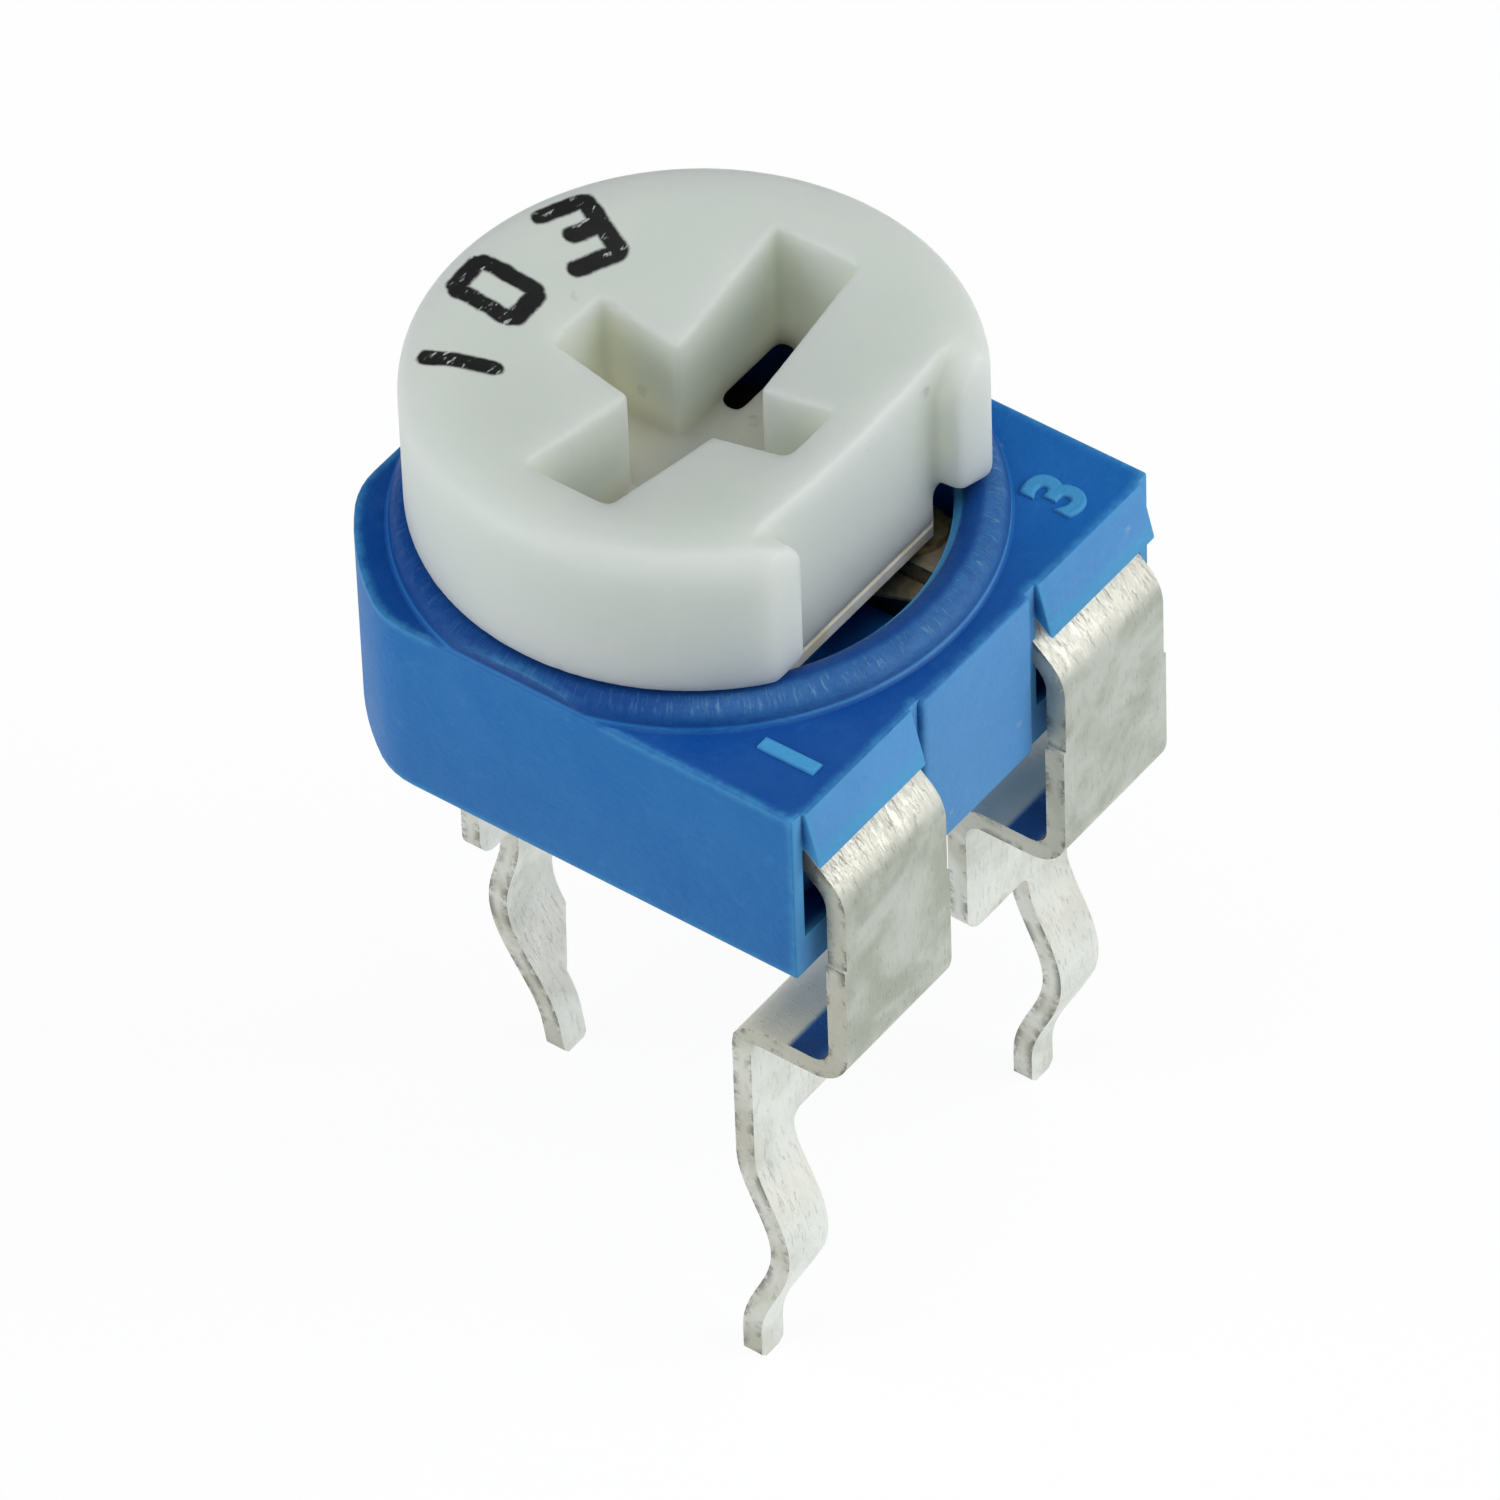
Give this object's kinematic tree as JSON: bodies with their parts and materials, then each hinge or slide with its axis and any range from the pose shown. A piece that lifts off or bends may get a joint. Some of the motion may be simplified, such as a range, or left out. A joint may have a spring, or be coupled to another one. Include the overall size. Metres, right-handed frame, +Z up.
{
  "type": "trimmer potentiometer",
  "caption": "Top-adjust trimmer potentiometer: a cross-slotted rotor turns in a square moulded housing that stands on kinked solder pins.",
  "frame": {"origin": "on the rotor axis, in the plane of the tips of the pins", "axes": "+Z up along the rotor axis, -Y towards the two end pins, +X to the right when seen from them"},
  "size_m": [0.0064, 0.0073, 0.0114],
  "materials": {
    "housing": "moulded blue polyester, slightly glossy with a fine surface grain",
    "rotor": "moulded off-white nylon, satin, faintly translucent, with a printed code",
    "wiper_spring": "pale phosphor bronze strip",
    "resistor_board": "brown phenolic paper laminate",
    "carbon_track": "printed carbon film",
    "silver_pad": "printed silver ink",
    "rivet": "rolled brass eyelet",
    "terminal": "tin-plated sheet, matte and mottled, bright along the formed bends"
  },
  "bodies": {
    "base": {"housing": "housing", "resistor_board": "resistor_board", "carbon_track": "carbon_track", "left_silver_pad": "silver_pad", "right_silver_pad": "silver_pad", "left_rivet": "rivet", "right_rivet": "rivet", "left_terminal": "terminal", "right_terminal": "terminal", "wiper_terminal": "terminal"},
    "rotor": {"rotor": "rotor", "wiper_spring": "wiper_spring"}
  },
  "joints": [
    {"name": "rotor_turn", "type": "hinge", "parent": "base", "child": "rotor", "pos_m": [0, 0, 0.00895], "axis": [0, 0, 1], "range_deg": [-115, 115]}
  ]
}
